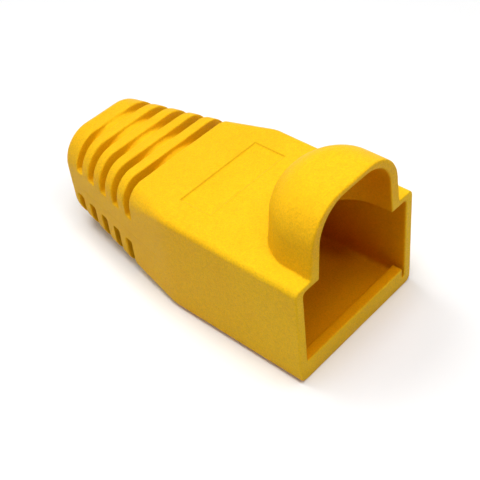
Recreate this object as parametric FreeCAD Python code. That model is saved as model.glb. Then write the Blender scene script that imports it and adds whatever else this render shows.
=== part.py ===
import FreeCAD, Part
import os

# Strain relief boot that slips over the back of a modular data plug.
# Millimetres. X is across the boot, Y runs from the mouth to the cable end, Z is up.
# The origin is at the middle of the bounding box, on the flat underside.

# Cavity that takes the plug, open at the mouth
cavity_width = 11.8
cavity_height = 7.9
cavity_depth = 12.0
cavity_corner = 0.3

# Walls of the body around the cavity
side_wall = 0.82
floor_wall = 0.82
roof_wall = 0.53

# Lengths of the straight body and of the tapered tail behind it
body_length = 12.9
tail_length = 14.1
shoulder_bend = 0.7

# Cable end of the tail
tail_end_width = 8.85
tail_end_height = 9.1
tail_end_round = 0.9

# Rounds along the upper and the lower corners: the body, the first rib and the cable end
body_top_round = 0.5
body_bottom_round = 0.6
rib_top_round = 1.75
rib_bottom_round = 1.3
end_top_round = 3.0
end_bottom_round = 3.1

# Round hole for the cable, and the funnel that leads into it
bore_diameter = 6.0
bore_height = 4.6
throat_diameter = 7.6
throat_length = 2.5

# Tube around the bore, which is the floor of every slot
core_start_diameter = 8.3
core_end_diameter = 9.0

# Slots across the tail, cut from above and from below in turn
slot_count = 5
slot_width = 0.8
slot_lead = 4.33
collar_length = 2.03

# Solid web along each side of the tail, between the upper and the lower slots
web_height = 2.9
web_middle_first = 4.8
web_middle_last = 5.25

# Hood over the plug's latch
hood_width = 10.28
hood_rise = 5.5
hood_run = 2.1
hood_depth = 6.35
hood_lean = 0.28
hood_corner_round = 3.38
hood_side_wall = 0.88
hood_top_wall = 0.48
hood_back_wall = 1.0

# Retaining lip across the floor at the mouth
lip_height = 1.05
lip_depth = 0.9
lip_gap = 0.25

# Shallow recess for a label, on the roof
label_width = 8.45
label_length = 3.0
label_depth = 0.09
label_from_mouth = 10.1

# Sizes that follow from the ones above
outer_width = cavity_width + 2 * side_wall
outer_height = floor_wall + cavity_height + roof_wall
length = body_length + tail_length
mouth_y = -length / 2
shoulder_y = mouth_y + body_length
end_y = length / 2
ribs_y = shoulder_y + slot_lead
ceiling_z = floor_wall + cavity_height
slot_span = tail_length - slot_lead - collar_length
slot_pitch = (slot_span - slot_width) / (slot_count - 1)
end_bottom_z = bore_height - tail_end_height / 2
end_top_z = bore_height + tail_end_height / 2
clear = 1.0

Vector = FreeCAD.Vector


def box(x_from, x_to, y_from, y_to, z_from, z_to):
    """A block between two corners."""
    return Part.makeBox(x_to - x_from, y_to - y_from, z_to - z_from, Vector(x_from, y_from, z_from))


def rounded_outline(y, half_width, bottom, top, bottom_round, top_round):
    """Outline across the boot at one station: a rectangle with rounded corners."""
    largest = 0.48 * min(2 * half_width, top - bottom)
    low = min(bottom_round, largest)
    high = min(top_round, largest)
    arc = 1 - 0.5 ** 0.5

    def at(x, z):
        return Vector(x, y, z)

    edges = [
        Part.LineSegment(at(-half_width + low, bottom), at(half_width - low, bottom)),
        Part.Arc(at(half_width - low, bottom),
                 at(half_width - low * arc, bottom + low * arc),
                 at(half_width, bottom + low)),
        Part.LineSegment(at(half_width, bottom + low), at(half_width, top - high)),
        Part.Arc(at(half_width, top - high),
                 at(half_width - high * arc, top - high * arc),
                 at(half_width - high, top)),
        Part.LineSegment(at(half_width - high, top), at(-half_width + high, top)),
        Part.Arc(at(-half_width + high, top),
                 at(-half_width + high * arc, top - high * arc),
                 at(-half_width, top - high)),
        Part.LineSegment(at(-half_width, top - high), at(-half_width, bottom + low)),
        Part.Arc(at(-half_width, bottom + low),
                 at(-half_width + low * arc, bottom + low * arc),
                 at(-half_width + low, bottom)),
    ]
    return Part.Wire([edge.toShape() for edge in edges])


def blend(start, finish, share):
    """Value a given share of the way from start to finish."""
    return start + (finish - start) * share


def tail_outline(distance, bottom_round, top_round, easing=0.0):
    """Outline of the taper at a distance behind the shoulder."""
    share = distance / tail_length
    half_width = blend(outer_width, tail_end_width, share) / 2 - easing
    bottom = blend(0, end_bottom_z, share)
    top = blend(outer_height, end_top_z, share)
    return rounded_outline(shoulder_y + distance, half_width, bottom, top, bottom_round, top_round)


def envelope():
    """Outside of body and tail, without hood or slots: four spans in line."""
    half_width = outer_width / 2
    mouth = rounded_outline(mouth_y, half_width, 0, outer_height, body_bottom_round, body_top_round)
    body = Part.Face(mouth).extrude(Vector(0, body_length - shoulder_bend, 0))
    bend_start = rounded_outline(shoulder_y - shoulder_bend, half_width, 0, outer_height,
                                 body_bottom_round, body_top_round)
    # The bend is a parabola in plan, so at its middle it lies a quarter of its fall inside the corner
    fall = (outer_width - tail_end_width) / 2 / tail_length * shoulder_bend
    bend_middle = tail_outline(0, body_bottom_round, body_top_round, fall / 4)
    share = shoulder_bend / slot_lead
    bend_low = blend(body_bottom_round, rib_bottom_round, share)
    bend_high = blend(body_top_round, rib_top_round, share)
    bend_end = tail_outline(shoulder_bend, bend_low, bend_high)
    ribs = tail_outline(slot_lead, rib_bottom_round, rib_top_round)
    end = tail_outline(tail_length, end_bottom_round, end_top_round)
    bend = Part.makeLoft([bend_start, bend_middle, bend_end], True, False)
    plain_tail = Part.makeLoft([bend_end, ribs], True, True)
    ribbed_tail = Part.makeLoft([ribs, end], True, True)
    rim = [edge for edge in ribbed_tail.Edges if abs(edge.BoundBox.YMin - end_y) < 1e-6]
    ribbed_tail = ribbed_tail.makeFillet(tail_end_round, rim)
    return body.multiFuse([bend, plain_tail, ribbed_tail])


def arch_points(half_width, crest, round_size, base):
    """Right half of the hood's arch: crest, round corner, side that leans in as it rises."""
    shoulder_x = half_width - hood_lean
    arc = 1 - 0.5 ** 0.5
    return [
        (0, crest),
        (shoulder_x - round_size, crest),
        (shoulder_x - round_size * arc, crest - round_size * arc),
        (shoulder_x, crest - round_size),
        (half_width, base),
        (0, base),
    ]


def arch_face(half_width, crest, round_size, base, y, mirrored):
    """Face of half an arch, standing across the boot at y."""
    side = -1 if mirrored else 1
    top, start, middle, stop, foot, centre = [
        Vector(side * x, y, z) for x, z in arch_points(half_width, crest, round_size, base)
    ]
    edges = [
        Part.LineSegment(top, start).toShape(),
        Part.Arc(start, middle, stop).toShape(),
        Part.LineSegment(stop, foot).toShape(),
        Part.LineSegment(foot, centre).toShape(),
        Part.LineSegment(centre, top).toShape(),
    ]
    return Part.Face(Part.Wire(edges))


def hood_solid(half_width, crest, round_size, base, front_y, axis_y, depth):
    """Arch run straight back to an upright axis, then turned half round that axis.

    The turned end reaches depth behind the axis, so its plan is half an ellipse or half a circle.
    """
    right = arch_face(half_width, crest, round_size, base, front_y, False)
    left = arch_face(half_width, crest, round_size, base, front_y, True)
    run = Vector(0, axis_y - front_y, 0)
    tunnel = right.extrude(run).fuse(left.extrude(run)).removeSplitter()
    section = arch_face(half_width, crest, round_size, base, 0, False)
    dome = section.revolve(Vector(0, 0, 0), Vector(0, 0, 1), 180)
    if abs(depth - half_width) > 1e-6:
        shorten = FreeCAD.Matrix()
        shorten.scale(1, depth / half_width, 1)
        dome = dome.transformGeometry(shorten)
    dome.translate(Vector(0, axis_y, 0))
    return tunnel.fuse(dome)


def hood_outside():
    """Outer form of the hood, sunk into the roof; its back is half an ellipse in plan."""
    return hood_solid(hood_width / 2, outer_height + hood_rise, hood_corner_round,
                      ceiling_z, mouth_y, mouth_y + hood_run, hood_depth - hood_run)


def latch_space():
    """Space under the hood, which also opens the roof; its back is half a circle in plan."""
    half_width = hood_width / 2 - hood_side_wall
    axis_y = mouth_y + hood_depth - hood_back_wall - half_width
    return hood_solid(half_width, outer_height + hood_rise - hood_top_wall,
                      hood_corner_round - hood_top_wall,
                      ceiling_z - clear, mouth_y - clear, axis_y, half_width)


def plug_cavity():
    """Box-shaped cavity from the mouth to its back wall."""
    front = rounded_outline(mouth_y - clear, cavity_width / 2, floor_wall, ceiling_z,
                            cavity_corner, cavity_corner)
    return Part.Face(front).extrude(Vector(0, cavity_depth + clear, 0))


def cable_way():
    """Funnel from the back of the cavity and the round bore behind it."""
    throat_y = mouth_y + cavity_depth
    along = Vector(0, 1, 0)
    throat = Part.makeCone(throat_diameter / 2, bore_diameter / 2, throat_length,
                           Vector(0, throat_y, bore_height), along)
    bore = Part.makeCylinder(bore_diameter / 2, end_y + clear - throat_y,
                             Vector(0, throat_y, bore_height), along)
    return bore.fuse(throat)


def core_tube():
    """Tube round the bore that stays whole behind the slots."""
    return Part.makeCone(core_start_diameter / 2, core_end_diameter / 2, tail_length - slot_lead,
                         Vector(0, ribs_y, bore_height), Vector(0, 1, 0))


def slots():
    """Slots from above and, half a pitch further on, from below."""
    half = outer_width / 2 + clear
    core = core_tube()
    cutters = []
    for index in range(slot_count):
        web_middle = blend(web_middle_first, web_middle_last, index / (slot_count - 1))
        upper_y = ribs_y + index * slot_pitch
        lower_y = upper_y + slot_pitch / 2
        upper = box(-half, half, upper_y, upper_y + slot_width,
                    web_middle + web_height / 2, outer_height + clear)
        lower = box(-half, half, lower_y, lower_y + slot_width,
                    -clear, web_middle - web_height / 2)
        cutters.append(upper.cut(core))
        cutters.append(lower.cut(core))
    return cutters


def label_recess():
    """Shallow rectangle in the roof, long side across the boot."""
    start_y = mouth_y + label_from_mouth
    return box(-label_width / 2, label_width / 2, start_y, start_y + label_length,
               outer_height - label_depth, outer_height + clear)


def retaining_lip():
    """Low bar on the cavity floor, flush with the mouth, that hooks over the plug's edge.

    It grows out of the left wall and stops short of the right one.
    """
    left = -cavity_width / 2 - side_wall / 2
    right = cavity_width / 2 - lip_gap
    return box(left, right, mouth_y, mouth_y + lip_depth, floor_wall / 2, floor_wall + lip_height)


def boot():
    """The whole boot as one solid."""
    outside = envelope().fuse(hood_outside()).removeSplitter()
    hollow = [plug_cavity(), latch_space(), cable_way(), label_recess()]
    body = outside.cut(hollow[0].multiFuse(hollow[1:]))
    for cutter in slots():
        body = body.cut(cutter)
    return body.fuse(retaining_lip()).removeSplitter()


os.makedirs("parts", exist_ok=True)
solid = boot()
if len(solid.Solids) != 1:
    raise ValueError("the boot is not one solid")
solid.Solids[0].exportStep("parts/boot.step")
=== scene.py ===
"""Scene of a strain relief boot: its plastic, a pale studio and the camera of the photograph."""
import math

import bpy
import numpy as np
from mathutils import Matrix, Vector


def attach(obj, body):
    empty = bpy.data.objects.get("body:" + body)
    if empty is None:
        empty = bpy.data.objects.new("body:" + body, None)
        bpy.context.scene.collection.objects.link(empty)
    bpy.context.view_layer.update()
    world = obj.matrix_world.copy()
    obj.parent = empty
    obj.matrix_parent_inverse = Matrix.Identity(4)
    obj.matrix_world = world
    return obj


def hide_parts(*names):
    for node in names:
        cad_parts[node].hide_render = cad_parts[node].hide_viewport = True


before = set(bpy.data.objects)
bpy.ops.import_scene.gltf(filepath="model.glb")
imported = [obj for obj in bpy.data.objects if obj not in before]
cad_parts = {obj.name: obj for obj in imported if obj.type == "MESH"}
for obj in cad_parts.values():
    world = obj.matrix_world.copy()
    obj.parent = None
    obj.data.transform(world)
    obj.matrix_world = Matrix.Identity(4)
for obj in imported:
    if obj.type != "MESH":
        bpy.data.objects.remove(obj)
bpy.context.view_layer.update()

bl_info = {
    "name": "Strain Relief Boot",
    "version": (1, 0, 0),
    "blender": (4, 5, 0),
    "location": "3D View > Sidebar > Boot",
    "description": "Finishes the boot and lights it in a small studio",
    "category": "Object",
}

MM = 0.001

# How fine the patterns of the plastic are, in repeats per metre
PATCH_SCALE = 260.0
DAPPLE_SCALE = 1900.0
GRAIN_SCALE = 7500.0

# Where painted shade deepens the colour, along the body towards the tail and up the hood
PAINTED_SHADE_ALONG = (-14.0 * MM, 4.0 * MM)
PAINTED_SHADE_HEIGHT = (9.2 * MM, 10.5 * MM)

# Where the cavity's painted shade gives way to the lighter painted shade of the slots
SLOT_SHADE_BEGIN = (-1.0 * MM, 1.0 * MM)

# Label recess, and a height just under the roof
LABEL_HALF_LENGTH = 4.225 * MM
LABEL_HALF_WIDTH = 1.5 * MM
LABEL_MIDDLE_Y = -1.9 * MM
UNDER_ROOF = 9.0 * MM

# Parting line on the webs along the tail's sides
PARTING_HEIGHT = 4.3 * MM
PARTING_RISE = 0.04
WEB_X = 4.2 * MM

# Hollow spaces whose faces get painted shade, in millimetres: just behind the cavity, just behind the rim
# and just over the roof, and the middle that the faces of each space look towards
BEHIND_CAVITY = -1.2
BEHIND_RIM = -12.8
OVER_ROOF = 9.45
MIDDLE_Y = -11.4
CAVITY_MIDDLE = 4.8
HOOD_MIDDLE = 11.0
SHADE_INSIDE_MARK = "shade_inside"


class Sig:
    """A shader value that takes part in plain arithmetic. One without a socket starts a tree."""

    def __init__(self, tree, socket=None):
        self.tree = tree
        self.socket = socket

    def node(self, kind, output=0, settings=None, **inputs):
        """Adds a node: its settings first, then its inputs, by name or as i and their number."""
        made = self.tree.nodes.new(kind)
        for name, value in (settings or {}).items():
            setattr(made, name, value)
        for name, value in inputs.items():
            numbered = name[0] == "i" and name[1:].isdigit()
            socket = made.inputs[int(name[1:]) if numbered else name.replace("_", " ")]
            if isinstance(value, Sig):
                self.tree.links.new(value.socket, socket)
            else:
                socket.default_value = value
        return Sig(self.tree, made.outputs[output]) if made.outputs else None

    def maths(self, operation, *others, clamp=False):
        """Adds a Math node on this value and any others."""
        settings = {"operation": operation, "use_clamp": clamp}
        return self.node("ShaderNodeMath", 0, settings,
                         **{f"i{number}": value for number, value in enumerate((self, *others))})

    def __add__(self, other):
        return self.maths("ADD", other)

    __radd__ = __add__

    def __sub__(self, other):
        return self.maths("SUBTRACT", other)

    def __rsub__(self, other):
        return self * -1.0 + other

    def __mul__(self, other):
        return self.maths("MULTIPLY", other)

    __rmul__ = __mul__

    def larger(self, other):
        """The larger of two values."""
        return self.maths("MAXIMUM", other)

    def size(self):
        """The value without its sign."""
        return self.maths("ABSOLUTE")

    def axes(self):
        """The three parts of a place: across, along and up."""
        return [self.node("ShaderNodeSeparateXYZ", axis, Vector=self) for axis in "XYZ"]

    def ramp(self, low, high):
        """0 up to low, 1 from high on, smooth between them."""
        return self.node("ShaderNodeMapRange", "Result", {"interpolation_type": "SMOOTHSTEP"},
                         Value=self, From_Min=low, From_Max=high)

    def noise(self, scale, **inputs):
        """Noise at this place."""
        return self.node("ShaderNodeTexNoise", "Fac", Vector=self, Scale=scale, **inputs)

    def mixed(self, first, second):
        """A colour between two others, with this value as the share of the second."""
        return self.node("ShaderNodeMix", 2, {"data_type": "RGBA"}, i0=self, i6=first, i7=second)


def empty_tree(owner):
    """Clears the nodes of a material or a world and starts a new tree there."""
    owner.use_nodes = True
    owner.node_tree.nodes.clear()
    return Sig(owner.node_tree)


def rgba(colour):
    """An opaque colour, as a colour socket takes it."""
    return (*colour, 1.0)


class BootLook(bpy.types.PropertyGroup):
    """Colours and sizes of the boot's plastic, and the colours of its painted shade."""

    plastic: bpy.props.FloatVectorProperty(
        name="Plastic", description="Colour of the plastic", subtype="COLOR",
        size=3, min=0.0, max=1.0, default=(0.95, 0.555, 0.009))
    # Deeper colour in random patches, and painted shade towards the tail and up the hood
    warm_and_shade: bpy.props.FloatVectorProperty(
        name="Warm Patches", description="Slightly deeper colour in patches and towards the tail",
        subtype="COLOR", size=3, min=0.0, max=1.0, default=(0.92, 0.475, 0.006))
    # Painted shade of the cavity, of the space under the hood and of corners
    cavity_shade: bpy.props.FloatVectorProperty(
        name="Deep Colour", description="Richer colour of the cavity and of corners", subtype="COLOR",
        size=3, min=0.0, max=1.0, default=(0.86, 0.355, 0.0))
    # Painted shade in the slots, lighter than that of the cavity
    slots: bpy.props.FloatVectorProperty(
        name="Slot Colour", description="Richer colour of the slots, whose thin ribs let light through",
        subtype="COLOR", size=3, min=0.0, max=1.0, default=(0.80, 0.45, 0.0))
    # Painted shade in a thin line round the label recess
    outline: bpy.props.FloatVectorProperty(
        name="Label Outline", description="Colour of the thin line round the label recess",
        subtype="COLOR", size=3, min=0.0, max=1.0, default=(0.6, 0.29, 0.0))
    # How near a wall has to be for painted shade to fall on a place
    shade_reach: bpy.props.FloatProperty(
        name="Hollow Reach", description="How near a wall has to be for a place to count as a hollow",
        unit="LENGTH", default=5.0 * MM)
    roughness: bpy.props.FloatProperty(
        name="Roughness", description="Roughness of the moulded skin", default=0.42, min=0.0, max=1.0)
    cell: bpy.props.FloatProperty(
        name="Skin Cell", description="Size of the cells that the moulded skin is rebuilt from",
        unit="LENGTH", default=0.07 * MM)
    soft_passes: bpy.props.IntProperty(
        name="Soft Passes", description="How often the skin is smoothed, which rounds every edge",
        default=8, min=0)
    triangles: bpy.props.IntProperty(
        name="Triangles", description="Triangles that the finished skin keeps", default=190000)
    grain_height: bpy.props.FloatProperty(
        name="Grain Height", description="Depth of the fine grain", unit="LENGTH", default=0.08 * MM)


class BootStudio(bpy.types.PropertyGroup):
    """Floor, lamps and camera."""

    floor: bpy.props.FloatVectorProperty(
        name="Floor", description="Colour of the floor", subtype="COLOR",
        size=3, min=0.0, max=1.0, default=(0.95, 0.95, 0.95))
    floor_bounce: bpy.props.FloatVectorProperty(
        name="Floor Bounce", description="Colour of the floor for the light that it throws back",
        subtype="COLOR", size=3, min=0.0, max=1.0, default=(0.76, 0.76, 0.76))
    floor_width: bpy.props.FloatProperty(
        name="Floor Width", description="Length of each side of the floor", unit="LENGTH", default=1.2)
    floor_reach: bpy.props.FloatProperty(
        name="Floor Reach", description="How far from the boot the floor keeps its shadows",
        unit="LENGTH", default=0.09)
    backdrop: bpy.props.FloatVectorProperty(
        name="Backdrop", description="Colour that the camera sees behind the object", subtype="COLOR",
        size=3, min=0.0, max=1.0, default=(1.0, 1.0, 1.0))
    surround_light: bpy.props.FloatProperty(
        name="Surround Light", description="Strength of the light from all round", default=0.06, min=0.0)
    camera_place: bpy.props.FloatVectorProperty(
        name="Camera Place", description="Where the photograph was taken from", subtype="TRANSLATION",
        unit="LENGTH", size=3, default=(-40.741 * MM, -44.827 * MM, 57.530 * MM))
    camera_turn: bpy.props.FloatVectorProperty(
        name="Camera Turn", description="How the camera was held", subtype="EULER",
        size=3, default=(math.radians(46.903), math.radians(5.140), math.radians(-48.156)))
    lens: bpy.props.FloatProperty(
        name="Lens", description="Focal length in millimetres", default=75.82)
    sensor_width: bpy.props.FloatProperty(
        name="Sensor Width", description="Width of the sensor in millimetres", default=36.0)
    lens_shift: bpy.props.FloatVectorProperty(
        name="Lens Shift", description="How far the middle of the picture lies off the lens's axis",
        size=2, default=(0.0011, 0.0043))


def parting_line(place):
    """Faint ridge along both sides of the tail, where the halves of the mould met."""
    across, along, height = place.axes()
    off_line = height - (along * PARTING_RISE + PARTING_HEIGHT)
    near = 1.0 - off_line.size().ramp(0.02 * MM, 0.09 * MM)
    on_web = across.size().ramp(WEB_X, WEB_X + 0.1 * MM)
    return near * on_web * along.ramp(-0.5 * MM, 1.5 * MM)


def label_edge_shade(place):
    """Share of painted shade in a thin line round the label recess, strongest along its sides towards the
    tail and the right.
    """
    across, along, height = place.axes()
    beyond_end = across.size() - LABEL_HALF_LENGTH
    beyond_side = (along - LABEL_MIDDLE_Y).size() - LABEL_HALF_WIDTH
    line = 1.0 - beyond_end.larger(beyond_side).size().ramp(0.03 * MM, 0.1 * MM)
    far_end = across.ramp(3.9 * MM, 4.1 * MM)
    far_side = along.ramp(-0.7 * MM, -0.5 * MM)
    on_roof = height.ramp(UNDER_ROOF - 0.1 * MM, UNDER_ROOF)
    return line * (far_end.larger(far_side) * 0.85 + 0.15) * on_roof


def painted_shade_share(place, look):
    """Share of painted shade: 1 in the cavity, under the hood and deep in slots and corners, 0 on open
    faces.
    """
    shade_inside = place.node("ShaderNodeAttribute", "Fac", {"attribute_name": SHADE_INSIDE_MARK})
    open_sky = place.node("ShaderNodeAmbientOcclusion", "AO", {"samples": 8}, Distance=look.shade_reach)
    return shade_inside.larger(1.0 - open_sky.ramp(0.05, 0.62))


def plastic_colour(place, grain, look):
    """Yellow with grain and faint warm patches, with painted shade towards the tail, up the hood, in the
    hollows and in a line round the label.
    """
    along, height = place.axes()[1:]
    patches = place.noise(PATCH_SCALE, Detail=3.0).ramp(0.35, 0.75)
    dapple = place.noise(DAPPLE_SCALE, Detail=2.0)
    # Painted shade: deeper colour towards the tail and up the hood
    shade_towards_tail = along.ramp(*PAINTED_SHADE_ALONG) * 0.58
    shade_up_the_hood = height.ramp(*PAINTED_SHADE_HEIGHT) * 0.55
    warmth_and_shade = patches * 0.25 + (dapple - grain) * 0.8 + shade_towards_tail.larger(shade_up_the_hood)
    colour = warmth_and_shade.mixed(rgba(look.plastic), rgba(look.warm_and_shade))
    # Painted shade in the hollows: the cavity's, giving way to the slots' towards the tail
    hollow_shade = along.ramp(*SLOT_SHADE_BEGIN).mixed(rgba(look.cavity_shade), rgba(look.slots))
    colour = painted_shade_share(place, look).mixed(colour, hollow_shade)
    # Painted shade in a thin line along the label recess's edge
    colour = (label_edge_shade(place) * 0.65).mixed(colour, rgba(look.outline))
    return place.node("ShaderNodeVectorMath", "Vector", {"operation": "SCALE"},
                      i0=colour, Scale=(grain - 0.5) * 0.72 + 1.0)


def boot_material(look):
    """Soft yellow plastic with a fine grain, a faint parting line and painted shade in the hollows, towards
    the tail, up the hood and round the label.
    """
    material = bpy.data.materials.new("Boot Plastic")
    place = empty_tree(material).node("ShaderNodeTexCoord", "Object")
    grain = place.noise(GRAIN_SCALE, Detail=3.0, Roughness=0.8)
    bump = place.node("ShaderNodeBump", "Normal", Height=grain + parting_line(place) * 0.6,
                      Strength=1.0, Distance=look.grain_height)
    skin = place.node("ShaderNodeBsdfPrincipled", "BSDF", Base_Color=plastic_colour(place, grain, look),
                      Roughness=grain * 0.12 + (look.roughness - 0.06), Normal=bump,
                      IOR=1.48, Specular_IOR_Level=0.055, Subsurface_Weight=0.08,
                      Subsurface_Radius=(1.0, 0.45, 0.1), Subsurface_Scale=0.6 * MM)
    place.node("ShaderNodeOutputMaterial", Surface=skin)
    return material


def vertex_places(mesh):
    """The places of a mesh's vertices, one row each."""
    places = np.empty(len(mesh.vertices) * 3, dtype=np.float32)
    mesh.vertices.foreach_get("co", places)
    return places.reshape(-1, 3)


def scale_mesh(mesh, factor):
    """Multiplies every vertex of a mesh, to work in millimetres or to go back to metres."""
    mesh.vertices.foreach_set("co", vertex_places(mesh).ravel() * factor)
    mesh.update()


def moulded_skin(context, source, look):
    """The CAD piece's mesh rebuilt as one even skin, with every edge softly rounded."""
    mesh = source.data.copy()
    scale_mesh(mesh, 1.0 / MM)
    mesh.materials.clear()
    rough = bpy.data.objects.new("skin_work", mesh)
    context.scene.collection.objects.link(rough)
    cells = rough.modifiers.new("Cells", "REMESH")
    cells.mode = "VOXEL"
    cells.voxel_size = look.cell / MM
    cells.use_smooth_shade = True
    smooth = rough.modifiers.new("Soft Edges", "SMOOTH")
    smooth.factor = 0.5
    smooth.iterations = look.soft_passes
    squares = len(rough.evaluated_get(context.evaluated_depsgraph_get()).data.polygons)
    fewer = rough.modifiers.new("Fewer Triangles", "DECIMATE")
    fewer.ratio = min(1.0, look.triangles / (2 * squares))
    graph = context.evaluated_depsgraph_get()
    skin = bpy.data.meshes.new_from_object(rough.evaluated_get(graph), depsgraph=graph)
    bpy.data.objects.remove(rough)
    scale_mesh(skin, MM)
    return skin


def mark_shade_inside(mesh):
    """Stores on each vertex whether it faces the middle of the cavity or of the space under the hood, as
    its share of painted shade.
    """
    places = vertex_places(mesh) / MM
    normals = np.empty(places.size, dtype=np.float32)
    mesh.vertex_normals.foreach_get("vector", normals)
    normals = normals.reshape(-1, 3)
    along, height = places[:, 1], places[:, 2]
    middle = np.zeros_like(places)
    middle[:, 1] = np.minimum(along, MIDDLE_Y)
    middle[:, 2] = np.where(height > OVER_ROOF, HOOD_MIDDLE, CAVITY_MIDDLE)
    # How far the middle lies in front of the face at each vertex
    facing = ((middle - places) * normals).sum(axis=1)
    shade_inside = np.clip((facing - 0.3) / 0.5, 0.0, 1.0) * (along < BEHIND_CAVITY)
    # The rim's own front is an open face, without painted shade
    rim = along < BEHIND_RIM
    shade_inside[rim] *= np.clip((0.8 - np.abs(normals[rim, 1])) / 0.4, 0.0, 1.0)
    marks = mesh.attributes.new(SHADE_INSIDE_MARK, "FLOAT", "POINT")
    marks.data.foreach_set("value", shade_inside.astype(np.float32))


class BOOT_OT_shell(bpy.types.Operator):
    """Builds the boot's one piece as a softly rounded skin in its plastic"""

    bl_idname = "boot.shell"
    bl_label = "Boot Shell"

    def execute(self, context):
        look = context.scene.boot_look
        mesh = moulded_skin(context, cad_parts["boot"], look)
        mesh.name = "boot_shell"
        for face in mesh.polygons:
            face.use_smooth = True
        # Marks where painted shade falls in the cavity and under the hood
        mark_shade_inside(mesh)
        mesh.materials.append(boot_material(look))
        piece = bpy.data.objects.new("boot_shell", mesh)
        context.scene.collection.objects.link(piece)
        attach(piece, "root")
        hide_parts("boot")
        return {"FINISHED"}


def seen_directly(start):
    """1 for what the camera sees, straight, in a reflection or through glass, and 0 for other light."""
    camera, glossy, through = [start.node("ShaderNodeLightPath", f"Is {kind} Ray")
                               for kind in ("Camera", "Glossy", "Transmission")]
    return (camera + glossy).maths("ADD", through, clamp=True)


def floor_material(studio):
    """Pale floor that keeps the boot's shadow and turns into the plain backdrop farther out."""
    material = bpy.data.materials.new("Floor")
    place = empty_tree(material).node("ShaderNodeTexCoord", "Object")
    distance = place.node("ShaderNodeVectorMath", "Value", {"operation": "LENGTH"}, i0=place)
    seen = seen_directly(place)
    colour = seen.mixed(rgba(studio.floor_bounce), rgba(studio.floor))
    matte = place.node("ShaderNodeBsdfDiffuse", "BSDF", Color=colour)
    glow = place.node("ShaderNodeEmission", "Emission", Color=rgba(studio.backdrop), Strength=1.0)
    far = distance.ramp(studio.floor_reach * 0.2, studio.floor_reach)
    surface = place.node("ShaderNodeMixShader", i0=seen * far, i1=matte, i2=glow)
    place.node("ShaderNodeOutputMaterial", Surface=surface)
    return material


def surroundings(studio):
    """World that the camera sees as the plain backdrop and that lights the boot only faintly."""
    world = bpy.data.worlds.new("Surroundings")
    seen = seen_directly(empty_tree(world))
    strength = seen * (1.0 - studio.surround_light) + studio.surround_light
    sky = seen.node("ShaderNodeBackground", "Background", Color=rgba(studio.backdrop), Strength=strength)
    seen.node("ShaderNodeOutputWorld", Surface=sky)
    return world


def studio_floor(scene, studio):
    """A flat square under the boot."""
    half = studio.floor_width / 2
    mesh = bpy.data.meshes.new("floor")
    corners = [(-half, -half, 0.0), (half, -half, 0.0), (half, half, 0.0), (-half, half, 0.0)]
    mesh.from_pydata(corners, [], [(0, 1, 2, 3)])
    mesh.materials.append(floor_material(studio))
    floor = bpy.data.objects.new("floor", mesh)
    scene.collection.objects.link(floor)


def area_lamp(scene, name, turn, height, power, size=0.12, distance=0.25, aim=(0.0, 0.0, 0.0)):
    """A square lamp that faces a point, from a turn round it and a height above it, in degrees."""
    turn, height = math.radians(turn), math.radians(height)
    away = Vector((math.sin(turn) * math.cos(height), -math.cos(turn) * math.cos(height), math.sin(height)))
    lamp = bpy.data.lights.new(name, "AREA")
    lamp.shape = "SQUARE"
    lamp.size = size
    lamp.energy = power
    holder = bpy.data.objects.new(name, lamp)
    holder.location = Vector(aim) + away * distance
    holder.rotation_euler = away.to_track_quat("Z", "Y").to_euler()
    scene.collection.objects.link(holder)


def studio_lamps(scene):
    """Soft light from above and all round, and a small lamp close above the hood's left side."""
    area_lamp(scene, "top", turn=0, height=88, power=0.155)
    area_lamp(scene, "near top", turn=0, height=88, power=0.0165, size=0.03, distance=0.07,
              aim=(-11.0 * MM, -15.0 * MM, 0.0))
    area_lamp(scene, "front", turn=0, height=57, power=0.062, size=0.035)
    area_lamp(scene, "front low", turn=0, height=30, power=0.015)
    area_lamp(scene, "front right", turn=45, height=45, power=0.06)
    area_lamp(scene, "right", turn=90, height=60, power=0.055)
    area_lamp(scene, "back", turn=180, height=60, power=0.25)
    area_lamp(scene, "back left", turn=225, height=45, power=0.05)
    area_lamp(scene, "left", turn=270, height=48, power=0.0455, size=0.07)


def studio_camera(scene, studio):
    """The camera as it stood for the photograph."""
    camera = bpy.data.cameras.new("camera")
    camera.lens = studio.lens
    camera.sensor_width = studio.sensor_width
    camera.shift_x, camera.shift_y = studio.lens_shift
    camera.clip_start = 0.001
    camera.clip_end = 10.0
    holder = bpy.data.objects.new("camera", camera)
    holder.location = studio.camera_place
    holder.rotation_euler = studio.camera_turn
    scene.collection.objects.link(holder)
    scene.camera = holder


class BOOT_OT_studio(bpy.types.Operator):
    """Adds the floor, the lamps, the surroundings and the camera"""

    bl_idname = "boot.studio"
    bl_label = "Boot Studio"

    def execute(self, context):
        scene = context.scene
        studio = scene.boot_studio
        studio_floor(scene, studio)
        studio_lamps(scene)
        scene.world = surroundings(studio)
        studio_camera(scene, studio)
        scene.view_settings.view_transform = "Standard"
        return {"FINISHED"}


class BOOT_PT_panel(bpy.types.Panel):
    """The boot's settings in the sidebar"""

    bl_idname = "BOOT_PT_panel"
    bl_label = "Boot"
    bl_space_type = "VIEW_3D"
    bl_region_type = "UI"
    bl_category = "Boot"

    def draw(self, context):
        for group in (context.scene.boot_look, context.scene.boot_studio):
            box = self.layout.box()
            for name in group.bl_rna.properties.keys():
                if name not in ("rna_type", "name"):
                    box.prop(group, name)
        self.layout.operator(BOOT_OT_shell.bl_idname)
        self.layout.operator(BOOT_OT_studio.bl_idname)


CLASSES = (BootLook, BootStudio, BOOT_OT_shell, BOOT_OT_studio, BOOT_PT_panel)


def register():
    for item in CLASSES:
        bpy.utils.register_class(item)
    bpy.types.Scene.boot_look = bpy.props.PointerProperty(type=BootLook)
    bpy.types.Scene.boot_studio = bpy.props.PointerProperty(type=BootStudio)


def unregister():
    del bpy.types.Scene.boot_studio
    del bpy.types.Scene.boot_look
    for item in reversed(CLASSES):
        bpy.utils.unregister_class(item)


def main():
    register()
    bpy.ops.boot.shell()
    bpy.ops.boot.studio()


if __name__ == "__main__":
    main()
